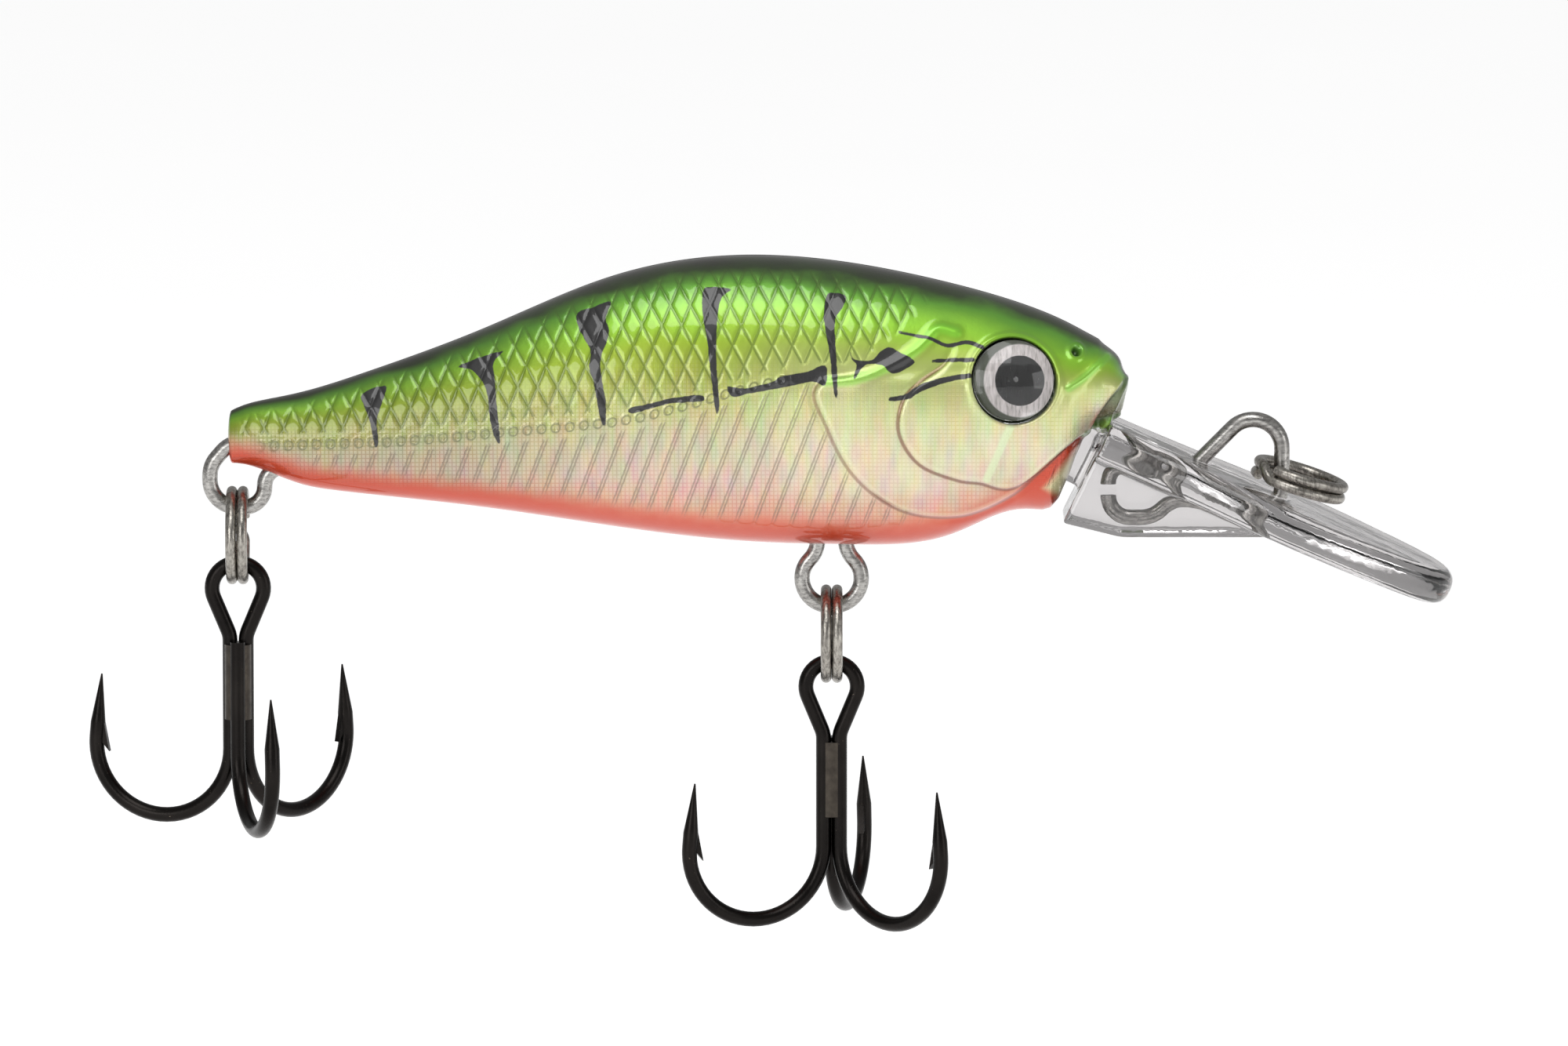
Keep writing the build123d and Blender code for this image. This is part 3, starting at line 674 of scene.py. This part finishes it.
def build_flank():
    """The right flank with its relief and eye socket, and the measures that its paint is laid out with."""
    points = body_grid()
    x, v, fields = flank_fields(points)
    normal = grid_normals(points)
    outward = np.sign(-(normal[..., 1:2]).mean())
    height = relief(x, v, fields)
    seam = np.minimum(np.arange(SPOKES + 1), np.arange(SPOKES + 1)[::-1])
    height -= SEAM_DEPTH * swell(seam, SEAM_HALF)
    points = points + normal * outward * height[..., None]
    points = sink_socket(points, fields)
    points[:, (0, -1), 1] = 0
    points[:, 1:-1, 1] = np.minimum(points[:, 1:-1, 1], -SEAM_SLIVER)
    return points, fields


flank_points, flank_measures = build_flank()


def skin_mesh(name, side):
    """One half of the body. side is -1 for the right half and 1 for the left."""
    tail, face = tail_cap(flank_points[0]), face_cap(flank_points[-1])
    grid = np.concatenate([tail, flank_points, face])
    rows, columns = grid.shape[:2]
    index = np.arange(rows * columns).reshape(rows, columns)
    quads = np.stack([index[:-1, :-1], index[1:, :-1], index[1:, 1:], index[:-1, 1:]], axis=-1).reshape(-1, 4)
    seam = [*index[:, 0], *index[-1, 1:-1], *index[::-1, -1], *index[0, -2:0:-1]]
    faces = [tuple(quad) for quad in quads] + [tuple(seam[::-1])]
    places = grid.reshape(-1, 3).copy()
    places[:, 1] *= -side
    if side > 0:
        faces = [face[::-1] for face in faces]
    mesh = bpy.data.meshes.new(name)
    mesh.from_pydata((places * MM).tolist(), [], faces)
    for key, values in flank_measures.items():
        before = np.repeat(values[:1], len(tail), axis=0)
        after = np.repeat(values[-1:], len(face), axis=0)
        full = np.concatenate([before, values, after]).ravel()
        mesh.attributes.new(key, "FLOAT", "POINT").data.foreach_set("value", full.astype(np.float32))
    inner = np.zeros((rows, columns))
    inner[-len(face):] = 1
    mesh.attributes.new("face", "FLOAT", "POINT").data.foreach_set("value", inner.ravel().astype(np.float32))
    tidy = bmesh.new()
    tidy.from_mesh(mesh)
    bmesh.ops.remove_doubles(tidy, verts=tidy.verts, dist=WELD * MM)
    bmesh.ops.recalc_face_normals(tidy, faces=tidy.faces)
    tidy.to_mesh(mesh)
    tidy.free()
    mesh.shade_smooth()
    mesh.polygons[len(mesh.polygons) - 1].use_smooth = False
    return mesh


# ---- Materials -----------------------------------------------------------------------------------------

BACK_TO_BELLY = [    # the airbrushed colours by share of the way down the side elevation
    (0.0, paint(38, 36, 28)), (0.045, paint(48, 66, 30)), (0.10, paint(96, 158, 48)),
    (0.19, paint(134, 190, 40)), (0.30, paint(146, 174, 36)), (0.42, paint(152, 163, 56)),
    (0.54, paint(170, 172, 96)), (0.66, paint(180, 170, 136)), (0.80, paint(194, 166, 148)),
    (0.90, paint(200, 140, 114)), (1.0, paint(220, 100, 72))]
TAIL_SHADE, SHOULDER_CREAM, WEAVE_CREAM = paint(210, 206, 192), paint(236, 234, 190), paint(240, 236, 214)
# the first of these is painted shade for the grooves between the scales
GROOVE_SHADE_OLIVE, RIB_BROWN, PORE_OLIVE = paint(70, 92, 30), paint(110, 100, 84), paint(92, 96, 60)
BELLY_ORANGE, THROAT_CREAM = paint(192, 60, 24), paint(212, 212, 164)
PLATE_CREAM, PLATE_BROWN = paint(226, 226, 190), paint(112, 58, 38)
CREST_GREEN, CHEEK_MINT = paint(128, 208, 50), paint(206, 222, 178)
LIP_GREEN, JAW_GREEN = paint(120, 190, 60), paint(122, 196, 62)
# the last of these is painted shadow for the eye socket
MOUTH_SHADE, NOSTRIL_SHADE, EYE_SOCKET_SHADOW = paint(74, 92, 58), paint(38, 60, 30), paint(44, 52, 32)
BAR_BLACK = paint(9, 8, 8)
GILL_TOP, CHEEK_TOP = 4.2, 5.4         # the brown edges of the two plates fade out at these heights


def foil_paint():
    """Holographic foil under transparent candy colours, black bars and a thick clear coat.

    Distances in step() are in millimetres on the side elevation, and factors in mix() are opacities.
    """
    finish = Finish("foil_paint", Coat_Weight=0.8, Coat_Roughness=0.04, Coat_IOR=1.5)
    x, y, z = finish.position()
    v = z * tilt_cos - abs(y) * tilt_sin
    wander = finish.noise(2.4, stretch=(1.6, 1, 1))
    band = finish.measured("band") + (wander - 0.5) * 0.10
    colour = finish.ramp(band, BACK_TO_BELLY)
    # the foil is duller toward the tail and paler on the shoulder
    tail = x.step(-52.0, -35.0).flipped()
    colour = finish.mix(tail, colour, TAIL_SHADE, "MULTIPLY")
    shoulder = x.step(-34.0, -25.0) * band.step(0.2, 0.45) * band.step(0.7, 0.9).flipped()
    colour = finish.mix(shoulder * 0.3, colour, SHOULDER_CREAM)
    # pale holographic cheeks and flanks, in pastel patches
    rainbow = finish.noise(1.5, stretch=(0.5, 1, 1.6), detail=2, output="Color")
    silver = band.step(0.30, 0.62) * band.step(0.86, 0.96).flipped()
    colour = finish.mix(silver * 0.42, colour, rainbow, "OVERLAY")
    # the foil's fine embossed mesh
    upright = abs((x / WEAVE_PITCH).fraction() - 0.5)
    level = abs((v / WEAVE_PITCH).fraction() - 0.5)
    weave = upright.least(level).step(0.05, 0.2)
    colour = finish.mix(weave * silver * 0.2, colour, WEAVE_CREAM)
    # grooves between the scales, darkened olive: painted shade in the grooves
    rising = abs(((x + v * LATTICE_RISE) / LATTICE_PITCH).fraction() - 0.5)
    rising = rising * (LATTICE_PITCH / RISING_STRETCH)
    falling = abs(((x - v * LATTICE_FALL) / LATTICE_PITCH).fraction() - 0.5)
    falling = falling * (LATTICE_PITCH / FALLING_STRETCH)
    groove = rising.least(falling).step(0.03, 0.11).flipped() * finish.measured("scale_zone")
    colour = finish.mix(groove * 0.5, colour, GROOVE_SHADE_OLIVE)
    # rib beads and the lateral line's pores
    off_rib = abs(((x - v * RIB_LEAN) / RIB_PITCH).fraction() - 0.5) * RIB_PITCH
    rib = abs(off_rib - 0.09).step(0.02, 0.08).flipped() * finish.measured("rib_zone")
    colour = finish.mix(rib * 0.5, colour, RIB_BROWN)
    pore_x = ((x / PORE_PITCH).fraction() - 0.5) * PORE_PITCH
    pore_v = finish.measured("above_line")
    pore = (pore_x * pore_x + pore_v * pore_v).root()
    pore_ring = abs(pore - 0.26).step(0.03, 0.09).flipped() * finish.measured("pore_zone")
    colour = finish.mix(pore_ring * 0.6, colour, PORE_OLIVE)
    # belly, throat and jaw
    above = finish.measured("above_belly") + (finish.noise(0.9) - 0.5) * 0.5
    belly = above.step(0.35, 1.9).flipped()
    jaw = finish.measured("cheek").step(-0.02, 0.1) * x.step(-16.6, -13.6)
    orange = belly.most(jaw)
    colour = finish.mix(orange, colour, BELLY_ORANGE)
    panel = finish.measured("throat").step(-0.55, 0.1).flipped()
    colour = finish.mix(panel * 0.9, colour, THROAT_CREAM)
    # the gill plates' brown lines and pale edges
    gill, cheek = finish.measured("gill"), finish.measured("cheek")
    for edge, strength, top in ((gill, 0.55, GILL_TOP), (cheek, 0.75, CHEEK_TOP)):
        below = v.step(top - 0.9, top + 0.5).flipped()
        halo = abs(edge + 0.24).step(0.03, 0.22).flipped() * below
        colour = finish.mix(halo * 0.22, colour, PLATE_CREAM)
        stroke = abs(edge - 0.07).step(0.05, 0.17).flipped() * below
        colour = finish.mix(stroke * strength, colour, PLATE_BROWN)
    crest = finish.measured("gill_crest").step(0.15, 0.5).flipped()
    colour = finish.mix(crest * 0.6, colour, CREST_GREEN)
    stripe = finish.measured("cheek_band").step(0.12, 0.34).flipped()
    colour = finish.mix(stripe * 0.7, colour, CHEEK_MINT)
    # mouth, lip, nostril and jaw ridge
    lip = finish.measured("lip").step(0.12, 0.4).flipped()
    colour = finish.mix(lip * 0.85, colour, LIP_GREEN)
    jaw_ridge = finish.measured("jaw_crest").step(0.1, 0.34).flipped()
    colour = finish.mix(jaw_ridge * 0.6, colour, JAW_GREEN)
    mouth = finish.measured("mouth").step(-0.2, 0.05).flipped()
    inside = mouth.most(finish.measured("face").step(0.3, 0.9))
    colour = finish.mix(inside * 0.85, colour, MOUTH_SHADE)
    nostril = finish.measured("nostril").step(0.14, 0.42).flipped()
    colour = finish.mix(nostril * 0.85, colour, NOSTRIL_SHADE)
    # painted shadow: the eye socket's wall and a narrow rim round it, dark green for the shade that the dome
    # and the wall throw
    eye = finish.measured("eye")
    socket = eye.step(SOCKET_RADIUS - 0.02, SOCKET_RADIUS + 0.12).flipped()
    colour = finish.mix(socket, colour, EYE_SOCKET_SHADOW)
    # black bars, over everything else
    ragged = finish.measured("black") + (finish.noise(0.35) - 0.5) * 0.12
    black = ragged.step(-0.03, 0.04).flipped()
    colour = finish.mix(black, colour, BAR_BLACK)
    finish.set("Metallic", black.flipped() * 0.5)
    finish.set("Base Color", colour)
    finish.set("Roughness", (finish.noise(0.6) * 0.14 + 0.30) + black * 0.05)
    finish.bump(weave * silver, 0.012)
    finish.bump(groove.flipped(), 0.02)
    finish.bump(rib, 0.02)
    finish.bump(finish.noise(0.18, detail=2), 0.006)
    return finish.material


def drawn_steel(name, light, dark, roughness, streak):
    """Steel wire: bright, with fine drawing lines and dull patches."""
    finish = Finish(name, Metallic=1.0)
    streaks = finish.noise(0.16, stretch=streak, detail=4, roughness=0.65)
    patches = finish.noise(1.3, detail=2)
    colour = finish.mix(streaks.step(0.35, 0.72), light, dark)
    colour = finish.mix(patches.step(0.5, 0.75) * 0.45, colour, dark)
    finish.set("Base Color", colour)
    finish.set("Roughness", patches.scaled(roughness - 0.08, roughness + 0.14))
    finish.bump(streaks, 0.012)
    return finish.material


def black_nickel():
    """Black nickel plate over steel, worn through in specks."""
    finish = Finish("black_nickel", Metallic=1.0)
    cloud = finish.noise(2.2, detail=4)
    speck = finish.noise(0.22, detail=3, roughness=0.7).step(0.70, 0.76)
    colour = finish.mix(cloud, paint(20, 19, 19), paint(44, 41, 39))
    colour = finish.mix(speck, colour, paint(120, 110, 98))
    finish.set("Base Color", colour)
    finish.set("Roughness", cloud.scaled(0.2, 0.38) + speck * 0.25)
    finish.bump(finish.noise(0.12, stretch=(1, 1, 2.5)), 0.008)
    return finish.material


def clear_plastic():
    """The bib's polycarbonate: clear, a little grey, with the faint waves of a moulding."""
    finish = Finish("clear_polycarbonate", Transmission_Weight=1.0, IOR=1.54)
    finish.set("Base Color", paint(206, 203, 203))
    haze = finish.noise(1.6, detail=4)
    finish.set("Roughness", haze.scaled(0.0, 0.06))
    finish.bump(finish.noise(2.6, detail=3), 0.05)
    return finish.material


def eye_lens():
    """The eye's glassy dome, with the faint orange peel of a moulded lens."""
    finish = Finish("eye_lens", Transmission_Weight=1.0, IOR=1.46)
    finish.set("Base Color", paint(250, 250, 250))
    haze = finish.noise(0.8, detail=3)
    finish.set("Roughness", haze.scaled(0.0, 0.04))
    finish.bump(haze, 0.008)
    return finish.material


# the ring sits ahead of the disc's centre, so the painted shadow beyond it is a crescent, thickest at the
# back
RING_RADIUS, RING_FORWARD = 2.0, 0.45        # the silver ring, and its centre ahead of the disc's
PUPIL_RADIUS, PUPIL_FORWARD = 1.36, 0.42


def eye_foil():
    """The printed eye: a black pupil on a brushed silver foil ring, with painted shadow beyond the ring,
    thickest at the back.
    """
    finish = Finish("eye_foil")
    x, y, z = finish.position()
    dx, dy, dz = x - EYE_CENTRE[0], abs(y) + EYE_CENTRE[1], z - EYE_CENTRE[2]
    ring_x = dx - RING_FORWARD
    ring = (ring_x * ring_x + dy * dy + dz * dz).root()
    grain = finish.noise(0.5, stretch=(0.25, 1, 1.4), detail=4)
    colour = finish.mix(grain.step(0.3, 0.7), paint(206, 198, 195), paint(252, 244, 243))
    # painted shadow: dark green beyond the silver ring, for the shade of the socket wall and the dome's edge
    dark = ring.step(RING_RADIUS, RING_RADIUS + 0.12)
    colour = finish.mix(dark, colour, paint(62, 72, 44))
    pupil_x = dx - PUPIL_FORWARD
    pupil = (pupil_x * pupil_x + dy * dy + dz * dz).root() + (finish.noise(0.2) - 0.5) * 0.05
    black = pupil.step(PUPIL_RADIUS, PUPIL_RADIUS + 0.05).flipped()
    colour = finish.mix(black, colour, paint(8, 8, 8))
    finish.set("Base Color", colour)
    finish.set("Metallic", (black.most(dark)).flipped() * 0.2)
    finish.set("Roughness", grain.scaled(0.2, 0.4))
    finish.bump(grain, 0.01)
    return finish.material


def plain_metal(name, colour, dark, roughness):
    """Cast, brazed or polished metal with a cloudy surface."""
    finish = Finish(name, Metallic=1.0)
    cloud = finish.noise(0.5, detail=4)
    finish.set("Base Color", finish.mix(cloud, colour, dark))
    finish.set("Roughness", cloud.scaled(roughness - 0.05, roughness + 0.15))
    finish.bump(cloud, 0.01)
    return finish.material


FINISHES = {
    "skin": foil_paint(),
    "bib": clear_plastic(),
    "wire": drawn_steel("hanger_steel", paint(176, 174, 170), paint(116, 114, 112), 0.24, (3.0, 1, 1)),
    "ring": drawn_steel("ring_steel", paint(170, 166, 158), paint(100, 96, 92), 0.26, (1, 1, 3.0)),
    "hook": black_nickel(),
    "braze": plain_metal("hook_braze", paint(86, 80, 72), paint(48, 44, 42), 0.35),
    "eye": eye_foil(),
    "dome": eye_lens(),
    "lead": plain_metal("lead", paint(110, 112, 116), paint(70, 72, 76), 0.5),
    "ball": plain_metal("ball_steel", paint(200, 200, 202), paint(160, 160, 164), 0.15),
}


# ---- Pieces --------------------------------------------------------------------------------------------

def add_piece(name, mesh, finish, body, slot, *replaced):
    """A visible piece that rides on a body, in place of the CAD nodes that it replaces."""
    piece = bpy.data.objects.new(name, mesh)
    bpy.context.scene.collection.objects.link(piece)
    mesh.materials.clear()
    mesh.materials.append(FINISHES[finish])
    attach(piece, body)
    if replaced:
        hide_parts(*replaced)
    return piece


def smooth_copy(node, angle=38.0):
    """A copy of a CAD node's mesh, welded, with smooth shading except at real edges."""
    mesh = node_mesh(node).copy()
    work = bmesh.new()
    work.from_mesh(mesh)
    bmesh.ops.remove_doubles(work, verts=work.verts, dist=CAD_WELD * MM)
    bmesh.ops.recalc_face_normals(work, faces=work.faces)
    for face in work.faces:
        face.smooth = True
    for edge in work.edges:
        edge.smooth = edge.calc_face_angle(0.0) < math.radians(angle)
    work.to_mesh(mesh)
    work.free()
    return mesh


CHANNEL_PLAY = 0.05           # the channel's wall stands off the wire by less than this
BIB_VOXEL = 0.11


def clear_bib():
    """The bib without the channel that the wire fills, so that the wire shows through solid plastic."""
    wire = node_tree("line_tie_wire")
    mesh = node_mesh("bib").copy()
    work = bmesh.new()
    work.from_mesh(mesh)
    bmesh.ops.remove_doubles(work, verts=work.verts, dist=CAD_WELD * MM)
    channel = [face for face in work.faces
               if 0 < wire.find_nearest(face.calc_center_median() / MM)[3] < CHANNEL_PLAY
               and all(0 < wire.find_nearest(vertex.co / MM)[3] < CHANNEL_PLAY for vertex in face.verts)]
    bmesh.ops.delete(work, geom=channel, context="FACES")
    loose = [vertex for vertex in work.verts if not vertex.link_faces]
    bmesh.ops.delete(work, geom=loose, context="VERTS")
    bmesh.ops.holes_fill(work, edges=[edge for edge in work.edges if edge.is_boundary], sides=0)
    bmesh.ops.recalc_face_normals(work, faces=work.faces)
    work.to_mesh(mesh)
    work.free()
    piece = add_piece("clear_bib", mesh, "bib", "lure_body", "clear_bib", "bib")
    remesh = piece.modifiers.new("even_skin", "REMESH")
    remesh.mode = "VOXEL"
    remesh.voxel_size = BIB_VOXEL * MM
    remesh.use_smooth_shade = True
    relax = piece.modifiers.new("round_edges", "CORRECTIVE_SMOOTH")
    relax.factor = 0.6
    relax.iterations = 12
    relax.use_only_smooth = True
    return piece


for side, name in ((-1, "right"), (1, "left")):
    add_piece(f"{name}_flank", skin_mesh(f"{name}_flank", side), "skin", "lure_body", "foil_paint",
              f"{name}_body_shell")

clear_bib()

BODY_OF = {node: body for body, nodes in frame["record"]["behaviour"]["bodies"].items() for node in nodes}
COPIES = {
    "line_tie_wire": ("wire", "steel_wire"), "belly_hanger": ("wire", "steel_wire"),
    "tail_hanger": ("wire", "steel_wire"), "line_tie_ring": ("ring", "ring_steel"),
    "belly_ring": ("ring", "ring_steel"), "tail_ring": ("ring", "ring_steel"),
    "front_double_hook": ("hook", "hook_black"), "rear_double_hook": ("hook", "hook_black"),
    "front_single_hook": ("hook", "hook_black"), "rear_single_hook": ("hook", "hook_black"),
    "front_hook_braze": ("braze", "hook_braze"), "rear_hook_braze": ("braze", "hook_braze"),
    "right_eye_disc": ("eye", "eye_foil"), "left_eye_disc": ("eye", "eye_foil"),
    "right_eye_lens": ("dome", "eye_dome"), "left_eye_lens": ("dome", "eye_dome"),
}
for node, (finish, slot) in COPIES.items():
    add_piece(f"{node}_detail", smooth_copy(node), finish, BODY_OF[node], slot, node)

for node, finish in (("belly_weight", "lead"), ("front_rattle_ball", "ball"), ("rear_rattle_ball", "ball")):
    mesh = node_mesh(node)
    mesh.materials.clear()
    mesh.materials.append(FINISHES[finish])


# ---- Studio --------------------------------------------------------------------------------------------

def make_stage():
    """A wide pale floor."""
    floor_z = cad_low.z / MM - FLOOR_DROP
    finish = Finish("pale_floor", Roughness=0.9, Emission_Strength=FLOOR_GLOW)
    finish.set("Emission Color", (1.0, 1.0, 1.0, 1))
    tone = finish.noise(60.0)
    finish.set("Base Color", finish.mix(tone, (0.90, 0.90, 0.90, 1), (0.93, 0.93, 0.93, 1)))
    spots = [(FLOOR_RADIUS * math.cos(turn), FLOOR_RADIUS * math.sin(turn), floor_z)
             for turn in np.linspace(0, 2 * math.pi, FLOOR_SIDES + 1)[:-1]]
    mesh = bpy.data.meshes.new("floor")
    mesh.from_pydata([[along * MM for along in spot] for spot in spots], [], [tuple(range(len(spots)))])
    mesh.materials.append(finish.material)
    floor = bpy.data.objects.new("floor", mesh)
    bpy.context.scene.collection.objects.link(floor)
    floor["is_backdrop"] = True


def add_light(name, place, target, size, watts):
    """A square softbox, size millimetres wide, that faces the target."""
    light = bpy.data.lights.new(name, "AREA")
    light.size = size * MM
    light.energy = watts
    lamp = bpy.data.objects.new(name, light)
    bpy.context.scene.collection.objects.link(lamp)
    lamp.location = Vector(place) * MM
    aim = (Vector(target) - Vector(place)) * MM
    lamp.rotation_euler = aim.to_track_quat("-Z", "Y").to_euler()


def make_camera():
    """The camera looks at the fish's right side from a little above it."""
    camera_data = bpy.data.cameras.new("camera")
    camera = bpy.data.objects.new("camera", camera_data)
    bpy.context.scene.collection.objects.link(camera)
    centre = Vector((VIEW_X, 0, VIEW_Z)) * MM
    back = Vector((0, -tilt_cos, tilt_sin))
    camera.location = centre + back * CAMERA_DISTANCE * MM
    camera.rotation_euler = (-back).to_track_quat("-Z", "Y").to_euler()
    camera_data.lens = SENSOR_WIDTH * CAMERA_DISTANCE / VIEW_WIDTH
    camera_data.clip_start = 0.01
    camera_data.clip_end = 20.0
    bpy.context.scene.camera = camera


make_stage()
middle = (VIEW_X, 0, VIEW_Z)
for light_name, place, size, watts in (("top_softbox", (-60, -260, 380), 280, 0.85),
                                       ("front_softbox", (-300, -460, 120), 240, 0.62),
                                       ("side_softbox", (400, -240, 60), 200, 0.28)):
    add_light(light_name, place, middle, size, watts)
make_camera()

world = bpy.data.worlds.new("studio")
world.use_nodes = True
world.node_tree.nodes["Background"].inputs[0].default_value = (1.0, 1.0, 1.0, 1)
world.node_tree.nodes["Background"].inputs[1].default_value = WORLD_STRENGTH
bpy.context.scene.world = world
bpy.context.scene.view_settings.view_transform = "Standard"

visual_low, visual_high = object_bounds()
size = {"cad": [list(cad_low), list(cad_high)], "visual": [list(visual_low), list(visual_high)]}
